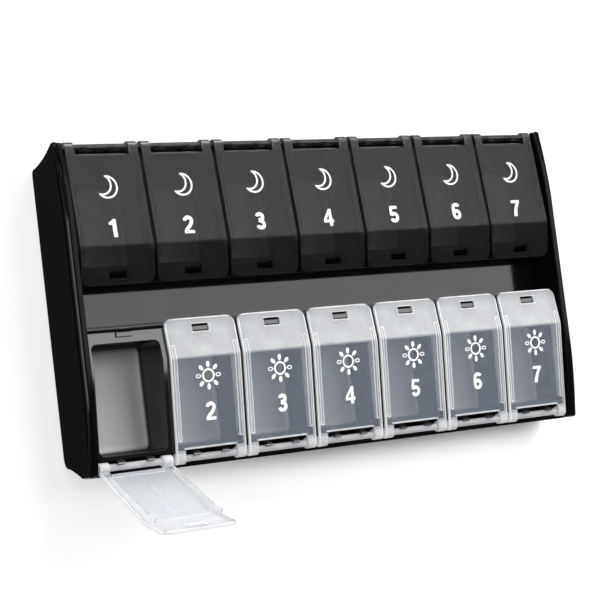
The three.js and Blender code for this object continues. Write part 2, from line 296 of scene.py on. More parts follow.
def lid_plastic(name, thin_haze, haze_colour, shares, rough, level, through):
    """Translucent lid plastic: a clear body with haze in it. The haze is denser on the tab, at the
    hinge, and most of all in lines along the edges and round the two ribs and the slot; where the
    haze is white, these lines are partly painted highlight, for the light that the edges catch. The
    shares are those of the clear plate, the tab, the hinge and the edges."""
    plate_share, tab_share, hinge_share, edge_haze_and_glint = shares
    made, tree = material(name)
    axes = own_axes(tree)
    y = axes["Y"]
    side = calc(tree, "ABSOLUTE", axes["X"])
    cloud = noise(tree, CLOUD)

    def most(first, *others):
        for other in others:
            first = calc(tree, "MAXIMUM", first, other)
        return first

    def least(a, b):
        return calc(tree, "MINIMUM", a, b)

    def scaled(value, by):
        return calc(tree, "MULTIPLY", value, by)

    def ramp(value, start, end, low=0.0, high=1.0):
        return spread(tree, value, low, high, start * MM, end * MM)

    def line(value, middle, half):
        """One on a line of the plate, nothing off it."""
        off = calc(tree, "ABSOLUTE", calc(tree, "SUBTRACT", value, middle * MM))
        return ramp(off, half, half + 0.18, 1.0, 0.0)

    def between(value, start, end, fade):
        return least(ramp(value, start, start + fade), ramp(value, end, end - fade))

    knuckle_x = LID_HALF - KNUCKLE_WIDTH
    rib_outer = RIB_X + RIB_WIDTH
    rib_along = between(y, RIB_START - 0.1, RIB_HAZE_END + 0.1, 0.3)
    rib_across = between(side, RIB_X - 0.2, rib_outer + 0.2, 0.2)
    rib_sides = most(line(side, RIB_X, 0.12), line(side, rib_outer, 0.12))
    rib_ends = most(line(y, RIB_START + 0.1, 0.15), line(y, RIB_HAZE_END - 0.1, 0.2))
    slot_across = ramp(side, SLOT_HALF + 0.45, SLOT_HALF + 0.25)
    slot_along = between(y, LID_REACH - SLOT_START - 0.5, LID_REACH - SLOT_END + 0.5, 0.2)
    # Lines of denser haze; where the haze is white they are partly painted highlight along the
    # edges
    edge = most(
        ramp(side, LID_HALF - 0.75, LID_HALF - 0.45),
        ramp(y, LID_REACH - 0.6, LID_REACH - 0.3),
        least(line(y, PLATE_EDGE + 0.2, 0.3), ramp(side, knuckle_x, knuckle_x - 0.3)),
        scaled(most(least(rib_sides, rib_along), least(rib_ends, rib_across)), RIB_LINE_HAZE_AND_GLINT),
        scaled(least(rib_across, rib_along), RIB_HAZE),
        scaled(least(slot_across, slot_along), SLOT_HAZE_AND_GLINT),
        scaled(least(ramp(side, knuckle_x - 0.2, knuckle_x + 0.1),
                     ramp(y, KNUCKLE + 0.3, KNUCKLE - 0.1)), KNUCKLE_HAZE_AND_GLINT),
    )

    share = ramp(y, FOLD_REACH - 0.8, FOLD_REACH + 0.6, plate_share, tab_share)
    share = scaled(share, ramp(y, FOLD_REACH, LID_REACH, 1, TAB_END_HAZE))
    share = most(
        share,
        ramp(y, PLATE_EDGE, PLATE_EDGE - 0.3, 0, hinge_share),
        scaled(edge, edge_haze_and_glint),
    )
    share = calc(tree, "MULTIPLY", share, spread(tree, cloud, 0.93, 1.07), clamp=True)
    dense = spread(tree, share, 0, 1, 0.2, 0.5)
    principled(tree, {
        "Base Color": blend(tree, dense, opaque(thin_haze), opaque(haze_colour)),
        "Alpha": share,
        "Roughness": spread(tree, cloud, rough * 0.85, rough * 1.2),
        "Normal": bump(tree, noise(tree, LID_GRAIN), 0.08, 0.00003),
        "IOR": 1.4, "Specular IOR Level": level,
        "Subsurface Weight": through, "Subsurface Radius": (1, 1, 1), "Subsurface Scale": 0.004,
    })
    return made


def speckled(name, pattern, first, second, rough, relief=None):
    """A plain surface whose colour, roughness and relief follow one fine noise."""
    made, tree = material(name)
    grain = noise(tree, pattern)
    inputs = {
        "Base Color": blend(tree, grain, opaque(first), opaque(second)),
        "Roughness": spread(tree, grain, *rough),
    }
    if relief:
        inputs["Normal"] = bump(tree, grain, *relief)
    principled(tree, inputs)
    return made


# A darker, barely reflecting copy of the shell's black, as painted shade: for the end walls' faces,
# and for the evening row's catches in their slots
BLACK = (0.003, 0.003, 0.0035)
SMOKE = (0.012, 0.012, 0.013)
SHELL = black_plastic("shell_gloss_black", BLACK, 0.15, (0.08, 0.12))
SHADED_SHELL_COPY = black_plastic("shell_painted_shade_black", (0.0014, 0.0014, 0.0017), 0.005, (0.08, 0.12))
PLATE = black_plastic("plate_gloss_black", BLACK, 0.045, (0.05, 0.09))
TROUGH = black_plastic("trough_gloss_black", (0.004, 0.004, 0.0045), 0.24, (0.1, 0.14))
STRIP = black_plastic("well_black", (0.006, 0.006, 0.007), 0.5, (0.08, 0.14), WELL_FLOOR)
SMOKED = lid_plastic("lid_smoked", SMOKE, SMOKE, (0.55, 0.6, 0.8, 0.9), 0.22, 0.23, 0)
KNUCKLES = lid_plastic("lid_smoked_polished", SMOKE, SMOKE, (0.9, 0.9, 0.9, 0.9), 0.1, 1, 0)
FROSTED = lid_plastic("lid_frosted", (0.39, 0.445, 0.52), (0.84, 0.85, 0.87),
                      (0.19, 0.46, 0.44, 0.93), 0.14, 0.5, 1)
INK = speckled("white_print", SPECK, (0.88, 0.88, 0.88), (0.96, 0.96, 0.96), (0.4, 0.6))
RUBBER = speckled("foot_rubber", RUBBER_GRAIN, (0.014, 0.014, 0.014), (0.032, 0.032, 0.031),
                  (0.7, 0.95), (0.4, 0.0001))


# ---------------------------------------------------------------- outlines

def circle(radius, count, centre=(0, 0)):
    turns = [2 * math.pi * k / count for k in range(count)]
    return [(centre[0] + radius * math.cos(a), centre[1] + radius * math.sin(a)) for a in turns]


def arc(x, y, wide, tall, start, end, steps=20):
    """Points on part of an ellipse, between two angles in degrees."""
    turns = [math.radians(start + (end - start) * k / steps) for k in range(steps + 1)]
    return [(x + wide * math.cos(a), y + tall * math.sin(a)) for a in turns]


def quadratic(a, b, c, steps):
    """Points on a quadratic curve from a to c, without a itself."""
    a, b, c = Vector(a), Vector(b), Vector(c)
    shares = [k / steps for k in range(1, steps + 1)]
    return [tuple(a * (1 - t) ** 2 + b * 2 * t * (1 - t) + c * t * t) for t in shares]


def inset(points, distance, share=None):
    """A closed outline, anticlockwise, moved inwards, by a share of the distance at each point."""
    moved = []
    for i, here in enumerate(points):
        before = (here - points[i - 1]).normalized()
        after = (points[(i + 1) % len(points)] - here).normalized()
        a, b = Vector((-before.y, before.x)), Vector((-after.y, after.x))
        part = share(here) if share else 1
        moved.append(here + (a + b) * distance * part / max(0.3, 1 + a.dot(b)))
    return moved


# ---------------------------------------------------------------- meshes and objects

def mesh_from(verts, faces):
    """A mesh in metres from points in millimetres. Points that meet become one."""
    mesh = bpy.data.meshes.new("made")
    mesh.from_pydata([Vector(v) * MM for v in verts], [], faces)
    bm = bmesh.new()
    bm.from_mesh(mesh)
    bmesh.ops.remove_doubles(bm, verts=bm.verts, dist=0.002 * MM)
    bmesh.ops.recalc_face_normals(bm, faces=bm.faces)
    bm.to_mesh(mesh)
    bm.free()
    return mesh


def loft(rings):
    """A closed skin over rings of points, all with the same number of points."""
    verts = [v for ring in rings for v in ring]
    n = len(rings[0])
    faces = []
    for k in range(len(rings) - 1):
        for i in range(n):
            j = (i + 1) % n
            faces.append((k * n + i, k * n + j, (k + 1) * n + j, (k + 1) * n + i))
    faces.append(tuple(range(n - 1, -1, -1)))
    faces.append(tuple((len(rings) - 1) * n + i for i in range(n)))
    return mesh_from(verts, faces)


def along_x(points, x0, x1, rounding=0.0, steps=1, share=None):
    """A (y, z) outline drawn out along X, with its end edges rounded."""
    points = [Vector(p) for p in points]
    outline = [p for i, p in enumerate(points) if (p - points[i - 1]).length > 1e-4]
    area = sum(outline[i - 1].x * p.y - p.x * outline[i - 1].y for i, p in enumerate(outline))
    if area < 0:
        outline.reverse()
    stops = [(0.0, 0.0)]
    if rounding:
        turns = [math.pi / 2 * k / steps for k in range(steps + 1)]
        stops = [(rounding * (1 - math.cos(a)), rounding * (1 - math.sin(a))) for a in turns]
    rings = []
    for along, inwards in stops:
        rings.append([(x0 + along, p.x, p.y) for p in inset(outline, inwards, share)])
    for along, inwards in reversed(stops):
        rings.append([(x1 - along, p.x, p.y) for p in inset(outline, inwards, share)])
    return loft(rings)


def along_z(outline, z0, z1):
    return loft([[(x, y, z) for x, y in outline] for z in (z0, z1)])


def block(low, high):
    (x0, y0, z0), (x1, y1, z1) = low, high
    return along_x([(y0, z0), (y1, z0), (y1, z1), (y0, z1)], x0, x1)


def joined(*meshes):
    bm = bmesh.new()
    for mesh in meshes:
        bm.from_mesh(mesh)
    mesh = bpy.data.meshes.new("made")
    bm.to_mesh(mesh)
    bm.free()
    return mesh


def work_object(mesh):
    obj = bpy.data.objects.new("work", mesh)
    scene.collection.objects.link(obj)
    return obj


def baked(obj):
    """The mesh of an object with its modifiers in it. The object goes."""
    bpy.context.view_layer.update()
    graph = bpy.context.evaluated_depsgraph_get()
    mesh = bpy.data.meshes.new_from_object(obj.evaluated_get(graph))
    bpy.data.objects.remove(obj)
    return mesh


def boolean(mesh, other, operation):
    target, tool = work_object(mesh), work_object(other)
    step = target.modifiers.new("cut", "BOOLEAN")
    step.object = tool
    step.operation = operation
    step.solver = "EXACT"
    made = baked(target)
    bpy.data.objects.remove(tool)
    return made


def edged(mesh, width, angle=50):
    """Small rounded edges, as moulded plastic has."""
    target = work_object(mesh)
    clean = target.modifiers.new("flat", "DECIMATE")
    clean.decimate_type = "DISSOLVE"
    clean.angle_limit = math.radians(0.3)
    step = target.modifiers.new("edge", "BEVEL")
    step.width = width * MM
    step.segments = 2
    step.limit_method = "ANGLE"
    step.angle_limit = math.radians(angle)
    step.use_clamp_overlap = True
    return baked(target)


def link(name, mesh, mat, smooth=40):
    """An object with even shading, whose edges stay sharp above an angle in degrees."""
    mesh.shade_smooth()
    mesh.set_sharp_from_angle(angle=math.radians(smooth))
    work = work_object(mesh)
    even = work.modifiers.new("even", "WEIGHTED_NORMAL")
    even.keep_sharp = True
    mesh = baked(work)
    mesh.materials.clear()
    mesh.materials.append(mat)
    obj = bpy.data.objects.new(name, mesh)
    scene.collection.objects.link(obj)
    return obj


def add(name, mesh, mat, body, node=None, smooth=40):
    """A finished piece that rides on a body."""
    obj = link(name, mesh, mat, smooth)
    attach(obj, body)
    if node:
        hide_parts(node)
    return obj


def in_part(obj, mat, chosen):
    """Gives the faces that are chosen a second material."""
    obj.data.materials.append(mat)
    for face in obj.data.polygons:
        face.material_index = int(chosen(face))


# ---------------------------------------------------------------- the organizer's section

def day_x(day):
    return (day - (DAYS - 1) / 2) * PITCH


def side_outline(set_in, bottom, top, corner, lean, bow, out=0.0, ear=0.0,
                 bend_from=EVENING_CORNER, full=EVENING_FULL):
    """A long wall's face on the +Y side, as an outline from the floor to its top. Its foot stands
    in by the lean and has a rounded corner. From there the face bows up to its full width, which
    may lie further out, at the height called full. An ear rounds its top corner."""
    upper = SHELL_Y - set_in + out
    foot = SHELL_Y - set_in - lean
    points = [(foot - corner, bottom)]
    points += quadratic(points[-1], (foot, bottom), (foot, bottom + corner), 10)
    if lean or out:
        bend = ((foot + upper) / 2 - bow, (bend_from + HINGE_TOP) / 2)
        points += quadratic(points[-1], bend, (upper, full), 14)
    if not ear:
        return points + [(upper, top)]
    points.append((upper, top - ear))
    return points + quadratic(points[-1], (upper, top), (upper - ear, top), 10)


def evening_side(set_in, bottom, top, ear=0.0, out=0.0, lean=EVENING_LEAN, bow=EVENING_BOW):
    return side_outline(set_in, bottom, top, EVENING_CORNER, lean, bow, out, ear)


def morning_side(set_in, bottom, top, ear=0.0, out=0.0, lean=0.0):
    side = side_outline(set_in, bottom, top, MORNING_CORNER, lean, MORNING_BOW, out, ear,
                        MORNING_CORNER, MORNING_FULL)
    return [(-y, z) for y, z in reversed(side)]


def end_outline(set_in, bottom, ear, evening, morning):
    """The outline of an end wall or end plate, with its arched rim. Evening and morning hold what
    the two side outlines are given besides."""
    def rise(out):
        start = SHELL_Y - set_in - ear + out
        return quadratic((start, EAR_TOP), (start - ARCH_RUN / 2, RIM), (start - ARCH_RUN, RIM), 20)

    fall = [(-y, z) for y, z in reversed(rise(morning["out"]))]
    return (evening_side(set_in, bottom, EAR_TOP, ear, **evening) + rise(evening["out"])
            + fall + morning_side(set_in, bottom, EAR_TOP, ear, **morning))


def foot_places():
    x = HALF_LENGTH - FOOT_IN[0]
    morning_y, evening_y = -SHELL_Y + FOOT_IN[1], SHELL_Y - (FOOT_IN[1] + EVENING_LEAN)
    return [(-x, morning_y), (x, morning_y), (-x, evening_y), (x, evening_y)]


# ---------------------------------------------------------------- the shell and its end plates

def make_shell():
    def rim_share(point):
        """The end walls' outer edges are rounded least at the ears and most along the rim."""
        height = (point.y - EAR_TOP) / (RIM - EAR_TOP - 0.6)
        return EAR_ROUNDING + (1 - EAR_ROUNDING) * min(1, max(0, height))

    outside = end_outline(
        0, 0, SHELL_EAR,
        {"out": EVENING_OUT, "lean": EVENING_OUTER_LEAN, "bow": EVENING_OUTER_BOW},
        {"out": MORNING_OUT, "lean": MORNING_OUTER_LEAN},
    )
    shell = along_x(outside, -HALF_LENGTH, HALF_LENGTH, END_ROUNDING, 12, rim_share)
    over = RIM + CLEAR
    hollow = evening_side(SHELL_WALL, SHELL_FLOOR, over)
    hollow += morning_side(SHELL_WALL, SHELL_FLOOR, over)
    shell = boolean(shell, along_x(hollow, -SHELL_END_X, SHELL_END_X), "DIFFERENCE")
    inner, outer = SHELL_Y - SHELL_WALL - EVENING_LEAN, SHELL_Y + CLEAR
    tops = joined(
        block((-SHELL_END_X, inner, SHELL_WALL_TOP), (SHELL_END_X, outer, over)),
        block((-SHELL_END_X, -outer, SHELL_WALL_TOP), (SHELL_END_X, -inner, over)),
    )
    shell = boolean(shell, tops, "DIFFERENCE")
    shell = boolean(shell, along_x(LIP, -SHELL_END_X - 0.2, SHELL_END_X + 0.2), "UNION")
    radius, depth = FOOT_RECESS
    recesses = joined(*[along_z(circle(radius, 48, place), -depth, depth)
                        for place in foot_places()])
    return edged(boolean(shell, recesses, "DIFFERENCE"), 0.25)


skin = add("outer_shell_skin", make_shell(), SHELL, "case", "outer_shell")
# Painted shade: the end walls' faces take the darker copy of the shell's black
in_part(skin, SHADED_SHELL_COPY, lambda face: abs(face.normal.x) > 0.85)

plate_in = SHELL_WALL + SEAM
plate_outline = end_outline(plate_in, RUNNER_BOTTOM, END_EAR,
                            {"out": EVENING_OUT + plate_in - PLATE_BACK},
                            {"out": MORNING_OUT + plate_in - PLATE_BACK})
for label, x in (("left", -PLATE_X - END_PLATE), ("right", PLATE_X)):
    plate = along_x(plate_outline, x, x + END_PLATE, PLATE_ROUNDING, 4)
    add(f"{label}_end_plate_skin", plate, PLATE, "case", f"{label}_end_plate")


# ---------------------------------------------------------------- the wells

def closed_lid(reach, height):
    """The (y, z) place of a point of a closed evening lid, from its own Y and Z."""
    away = reach * math.cos(TILT) - height * math.sin(TILT)
    return HINGE_Y - away, AXIS_Z + reach * math.sin(TILT) + height * math.cos(TILT)


def tab_height(y, height):
    """The Z of a closed evening lid's sloping tab at a Y, for a height off the lid's plate."""
    fold, end = closed_lid(FOLD_REACH, height), closed_lid(LID_REACH, height - TAB_DROP)
    return end[1] + (y - end[0]) * (fold[1] - end[1]) / (fold[0] - end[0])


LEDGE_TOP = tab_height(LEDGE_Y, UNDER_GAP)
LEDGE_BOTTOM = LEDGE_TOP - LEDGE_THICK


def well_outline(lean):
    top = RIM + CLEAR
    points = [(WELL_INNER_Y, top), (WELL_INNER_Y, WELL_FLOOR + WELL_FILLET)]
    points += quadratic(points[-1], (WELL_INNER_Y, WELL_FLOOR),
                        (WELL_INNER_Y + WELL_FILLET, WELL_FLOOR), 10)
    return points + side_outline(STRIP_INSET + WELL_WALL, WELL_FLOOR, top, WELL_FILLET,
                                 lean, EVENING_BOW)


def strip_outline(lean):
    """A strip's own outline, up past its top."""
    top = RIM + CLEAR
    inner = WELL_INNER_Y - WELL_WALL
    points = [(inner, STRIP_BOTTOM)]
    points += side_outline(STRIP_INSET, STRIP_BOTTOM, top, WELL_FILLET, lean, EVENING_BOW)
    return points + [(LEDGE_Y, top), (LEDGE_Y, LEDGE_BOTTOM), (inner, LEDGE_BOTTOM)]


def under_lids():
    """The space under the closed lids, which a strip fills to its top."""
    bottom, inner = STRIP_BOTTOM - 1, LEDGE_Y - 1
    hinge, fold = closed_lid(0, UNDER_GAP), closed_lid(FOLD_REACH, UNDER_GAP)
    return [(inner, bottom), (SHELL_Y, bottom), (SHELL_Y, hinge[1]), hinge, fold,
            (inner, tab_height(inner, UNDER_GAP))]


def catch_outline():
    """A catch stands in the slot of a closed lid's tab, and its top slopes as the tab does."""
    def top(y):
        return tab_height(y, LID_TOP) - CATCH_BELOW

    slot_end = closed_lid(LID_REACH - SLOT_END, LID_TOP - TAB_DROP)[0]
    slot_start = closed_lid(LID_REACH - SLOT_START, LID_TOP - TAB_DROP)[0]
    near, far = max(slot_end + CATCH_GAP, LEDGE_Y), slot_start - CATCH_GAP
    base = LEDGE_TOP - 0.2
    return [(near, base), (far, base), (far, top(far)), (near + 0.3, top(near + 0.3)),
            (near, top(near) - 0.4)]


def make_clip(x0):
    """An open ring round the hinge rod, whose mouth faces up and outwards, and its web."""
    start, end = (math.radians(a) for a in CLIP_ARC)
    turns = [start + (end - start) * k / 20 for k in range(21)]
    ring = [(CLIP_OUTER * math.cos(a), CLIP_OUTER * math.sin(a)) for a in turns]
    ring += [(CLIP_BORE * math.cos(a), CLIP_BORE * math.sin(a)) for a in reversed(turns)]
    web_y = SHELL_Y - HINGE_Y - STRIP_INSET - WELL_WALL
    web = block((x0, web_y, -CLIP_OUTER), (x0 + CLIP_WIDTH, -CLIP_BORE - 0.02, 0))
    mesh = boolean(along_x(ring, x0, x0 + CLIP_WIDTH), web, "UNION")
    mesh.transform(Matrix.Translation((0, HINGE_Y * MM, AXIS_Z * MM)))
    return mesh


def make_strip(lean):
    """The seven wells of a row in one moulding, with its catches and clips, on the +Y side."""
    days = [day_x(d) for d in range(DAYS)]
    strip = boolean(along_x(strip_outline(lean), -STRIP_X, STRIP_X),
                    along_x(under_lids(), -STRIP_X - 1, STRIP_X + 1), "INTERSECT")
    well = well_outline(lean)
    wells = [along_x(well, x - WELL_HALF, x + WELL_HALF, WELL_CORNER, 6) for x in days]
    strip = boolean(strip, joined(*wells), "DIFFERENCE")
    grooves = [block((x + PITCH / 2 - GROOVE_HALF, WELL_INNER_Y, STRIP_BOTTOM - CLEAR),
                     (x + PITCH / 2 + GROOVE_HALF, GROOVE_OUTER_Y, GROOVE_TOP))
               for x in days[:-1]]
    strip = boolean(strip, joined(*grooves), "DIFFERENCE")
    runners = [block((-STRIP_X, y, RUNNER_BOTTOM), (STRIP_X, y + RUNNER_WIDTH, STRIP_BOTTOM + 0.2))
               for y in RUNNERS_Y]
    strip = boolean(strip, joined(*runners), "UNION")
    catch = catch_outline()
    catches = [along_x(catch, x - CATCH_HALF, x + CATCH_HALF) for x in days]
    strip = edged(boolean(strip, joined(*catches), "UNION"), 0.2)
    clips = [edged(make_clip(x + s * CLIP_X - CLIP_WIDTH / 2), 0.15) for x in days for s in (-1, 1)]
    return joined(strip, *clips)


def on_catch(face):
    x, y, z = (c / MM for c in face.center)
    off = abs((x + PITCH / 2) % PITCH - PITCH / 2)
    return off < CATCH_HALF + 0.15 and LEDGE_Y < y < WELL_INNER_Y and z > LEDGE_TOP + 0.1


for label, lean in (("morning", 0), ("evening", EVENING_LEAN)):
    mesh = make_strip(lean)
    if label == "morning":
        mesh.transform(Matrix.Rotation(math.pi, 4, "Z"))
    wells = add(f"{label}_wells", mesh, STRIP, "case", f"{label}_well_strip", 35)
    if label == "evening":
        # Painted shade: the evening catches take the darker black, so that the slots look dark
        in_part(wells, SHADED_SHELL_COPY, on_catch)


# ---------------------------------------------------------------- the channel between the rows

def make_channel():
    def half(side, floor):
        start, end = (side - CHANNEL_CURVE, floor), (side, floor + CHANNEL_CURVE)
        return [start, *quadratic(start, (side, floor), end, 18), (side, LEDGE_BOTTOM - SEAM)]

    def mirrored(points):
        return [(-y, z) for y, z in points]

    outer = half(CHANNEL_Y, CHANNEL_FLOOR - CHANNEL_WALL)
    inner = half(CHANNEL_Y - CHANNEL_WALL, CHANNEL_FLOOR)
    section = outer + inner[::-1] + mirrored(inner) + mirrored(outer)[::-1]
    pieces = [edged(along_x(section, -STRIP_X, STRIP_X), 0.2, 60)]
    rib_y, rib_top = CHANNEL_Y - 3, CHANNEL_FLOOR - CHANNEL_WALL / 2
    for i in range(CHANNEL_RIBS):
        x = -STRIP_X + i / (CHANNEL_RIBS - 1) * (2 * STRIP_X - CHANNEL_RIB)
        pieces.append(block((x, -rib_y, RUNNER_BOTTOM), (x + CHANNEL_RIB, rib_y, rib_top)))
    return joined(*pieces)


add("channel_trough", make_channel(), TROUGH, "case", "centre_channel")


# ---------------------------------------------------------------- the feet

for i, place in enumerate(foot_places()):
    foot = loft([[(x, y, z) for x, y in circle(radius, 48, place)] for radius, z in FOOT_PROFILE])
    add(f"foot_{i + 1}", foot, RUBBER, "case", f"rubber_foot_{i + 1}")


# ---------------------------------------------------------------- the lids

def lid_section():
    """From the knuckle round under the plate to the tab's end, and back over the top."""
    slope = math.atan2(TAB_DROP, TAB_LENGTH)
    folds = []
    for height in (LID_UNDER, LID_TOP):
        start = (FOLD_REACH - FOLD_CURVE, height)
        end = (FOLD_REACH + FOLD_CURVE * math.cos(slope), height - FOLD_CURVE * math.sin(slope))
        folds.append([start, *quadratic(start, (FOLD_REACH, height), end, 4)])
    under, over = folds
    meet = math.asin(LID_UNDER / KNUCKLE)
    turns = [math.pi / 2 + (math.pi * 1.5 + meet) * k / 36 for k in range(37)]
    knuckle = [(KNUCKLE * math.cos(a), KNUCKLE * math.sin(a)) for a in turns]
    tab_end = LID_TOP - TAB_DROP
    return knuckle + under + [(LID_REACH, tab_end - LID_THICK), (LID_REACH, tab_end)] + over[::-1]


def lid_face():
    """The lid from above, with the tab's two corners rounded. At the hinge it is wider than the
    lid, and cuts nothing there."""
    wide, start, shoulder = LID_HALF + 1, -4, 20
    points = [(-wide, start), (wide, start), (wide, shoulder), (LID_HALF, shoulder),
              (LID_HALF, LID_REACH - TAB_CORNER)]
    points += quadratic(points[-1], (LID_HALF, LID_REACH), (LID_HALF - TAB_CORNER, LID_REACH), 10)
    points += [(-LID_HALF + TAB_CORNER, LID_REACH)]
    points += quadratic(points[-1], (-LID_HALF, LID_REACH), (-LID_HALF, LID_REACH - TAB_CORNER), 10)
    return points + [(-LID_HALF, shoulder), (-wide, shoulder)]


def rib_outline():
    """A locating rib under the plate and the tab, let into the lid by a little."""
    end, drop = FOLD_REACH + RIB_PAST_FOLD, TAB_DROP / TAB_LENGTH * RIB_PAST_FOLD
    root, tip = LID_UNDER + 0.2, LID_UNDER - RIB_DEPTH
    return [(RIB_START, LID_UNDER - 1), (FOLD_REACH, tip), (end, tip - drop), (end, root - drop),
            (FOLD_REACH, root), (RIB_START, root)]


def make_lid():
    lid = boolean(along_x(lid_section(), -LID_HALF, LID_HALF), along_z(lid_face(), -8, 8),
                  "INTERSECT")
    window = LID_HALF - KNUCKLE_WIDTH
    lid = boolean(lid, block((-window, -5, -5), (window, PLATE_EDGE, 5)), "DIFFERENCE")
    lid = boolean(lid, along_x(circle(ROD, 40), -window - 0.2, window + 0.2), "UNION")
    slot = block((-SLOT_HALF, LID_REACH - SLOT_START, -8), (SLOT_HALF, LID_REACH - SLOT_END, 8))
    lid = boolean(lid, slot, "DIFFERENCE")
    for x in (-RIB_X - RIB_WIDTH, RIB_X):
        lid = boolean(lid, along_x(rib_outline(), x, x + RIB_WIDTH), "UNION")
    return edged(lid, 0.25, 45)


lid_mesh = make_lid()


# ---------------------------------------------------------------- prints on the lids

PRINT_HEIGHT = 0.05
PRINT_GAP = 0.01             # between a print and the plate
NUMBER_HEIGHT = 6.8
NUMBER_WIDTH = 1.15          # how much wider than drawn
NUMBER_X = 0.5
NUMBER_Y = {"morning": 16.7, "evening": 31.3}
SUN_PLACE = (0.4, 29.9)
MOON_PLACE = (0.5, 15.7)
MOON_TURN = math.radians(-25)


def flat(outlines, thickness=PRINT_HEIGHT):
    """A thin raised print from (x, y) outlines, a hair above the lid's plate."""
    verts, faces = [], []
    for outline in outlines:
        faces.append(tuple(range(len(verts), len(verts) + len(outline))))
        verts += [(x, y, LID_TOP + thickness) for x, y in outline]
    mesh = mesh_from(verts, faces)
    bm = bmesh.new()
    bm.from_mesh(mesh)
    upper, rim = list(bm.faces), [edge for edge in bm.edges if edge.is_boundary]
    down = Vector((0, 0, -(thickness - PRINT_GAP) * MM))
    below = [bm.verts.new(v.co + down) for v in list(bm.verts)]
    for face in upper:
        bm.faces.new([below[v.index] for v in face.verts])
    for edge in rim:
        a, b = edge.verts
        bm.faces.new((a, b, below[b.index], below[a.index]))
    bmesh.ops.recalc_face_normals(bm, faces=bm.faces)
    bm.to_mesh(mesh)
    bm.free()
    return mesh


def stroke(points, width, closed=True):
    """The quads of a line of even width along points. Sharp corners are widened up to a limit."""
    n = len(points)
    sides = []
    for i, p in enumerate(points):
        here = Vector(p)
        before = Vector(points[i - 1]) if closed or i else here * 2 - Vector(points[1])
        inner = closed or i < n - 1
        after = Vector(points[(i + 1) % n]) if inner else here * 2 - Vector(points[i - 1])
        a, b = (here - before).normalized(), (after - here).normalized()
        across = Vector((-(a + b).y, (a + b).x))
        across = across.normalized() if across.length > 1e-6 else Vector((-a.y, a.x))
        widen = min(1.6, 1 / max(0.4, across.dot(Vector((-a.y, a.x)))))
        half = across * width / 2 * widen
        sides.append((tuple(here + half), tuple(here - half)))
    quads = []
    for i in range(n if closed else n - 1):
        j = (i + 1) % n
        quads.append([sides[i][0], sides[i][1], sides[j][1], sides[j][0]])
    return quads


def moon():
    """A crescent in outline."""
    big, small, apart = 4.1, 3.72, 2.15
    cross = (apart ** 2 + big ** 2 - small ** 2) / (2 * apart)
    rise = math.sqrt(big ** 2 - cross ** 2)
    a0 = math.atan2(rise, cross)
    b0 = math.atan2(rise, cross - apart)
    outer = [(big * math.cos(a), big * math.sin(a))
             for a in [a0 + (2 * math.pi - 2 * a0) * k / 40 for k in range(41)]]
    inner = [(apart + small * math.cos(a), small * math.sin(a))
             for a in [2 * math.pi - b0 - (2 * math.pi - 2 * b0) * k / 32 for k in range(1, 32)]]
    c, s = math.cos(MOON_TURN), math.sin(MOON_TURN)
    points = [(MOON_PLACE[0] + x * c - y * s, MOON_PLACE[1] + x * s + y * c)
              for x, y in outer + inner]
    return stroke(points, 0.68)


def sun():
    """A ring and eight petals. The two petals that point along the row are in outline."""
    ring, petal_at, long, wide, shrink = 2.25, 4.15, 1.2, 0.72, 0.82
    quads = stroke(circle(ring, 40, SUN_PLACE), 0.72)
    for k in range(8):
        a = math.pi / 4 * k
        out = Vector((math.cos(a), math.sin(a)))
        across = Vector((-out.y, out.x))
        middle = Vector(SUN_PLACE) + out * petal_at
        petal = []
        for j in range(24):
            t = 2 * math.pi * j / 24
            half = wide * (1 + 0.12 * math.cos(t))
            petal.append(tuple(middle + out * long * math.cos(t) + across * half * math.sin(t)))
        if k % 4 == 0:
            inner = [tuple(Vector(p) * shrink + middle * (1 - shrink)) for p in petal]
            quads += stroke(inner, 0.4)
        else:
            quads.append(petal)
    return quads


# Plain bold numerals, one unit tall, as lines with their width. A width of nothing means that the
# points are the outline itself.
BOLD = 0.2
NUMERALS = {
    1: [([(-0.03, 0), (0.17, 0), (0.17, 1), (0.02, 1), (-0.05, 0.89), (-0.2, 0.83), (-0.2, 0.69),
          (-0.03, 0.7)], 0)],
    2: [(arc(0, 0.71, 0.18, 0.195, 175, -25)
         + quadratic((0.163, 0.628), (0.11, 0.47), (-0.03, 0.33), 6)
         + quadratic((-0.03, 0.33), (-0.15, 0.22), (-0.17, 0.1), 6), BOLD),
        ([(-0.265, 0.085), (0.27, 0.085)], 0.17)],
    3: [(arc(0, 0.735, 0.165, 0.17, 165, -85) + [(-0.08, 0.54)], BOLD),
        ([(-0.08, 0.54)] + arc(0, 0.295, 0.185, 0.2, 85, -165), BOLD)],
    4: [([(0.1, 0), (0.1, 1)], BOLD),
        ([(-0.3, 0.29), (0.28, 0.29)], 0.165),
        ([(0.08, 0.94), (-0.225, 0.4), (-0.225, 0.29)], 0.15)],
    5: [([(-0.18, 0.915), (0.23, 0.915)], 0.17),
        ([(-0.135, 1), (-0.185, 0.46)], 0.17),
        ([(-0.19, 0.5)] + arc(-0.005, 0.315, 0.185, 0.22, 120, -160), BOLD)],
    6: [(arc(0, 0.305, 0.18, 0.21, 0, 351, 39), BOLD),
        (arc(0.01, 0.72, 0.175, 0.185, 22, 170) + [(-0.178, 0.5), (-0.18, 0.3)], BOLD)],
    7: [([(-0.27, 1), (0.27, 1), (0.27, 0.85)]
         + quadratic((0.27, 0.85), (0.03, 0.5), (0.01, 0), 10) + [(-0.2, 0)]
         + quadratic((-0.2, 0), (-0.17, 0.45), (0.06, 0.83), 10) + [(-0.27, 0.83)], 0)],
}


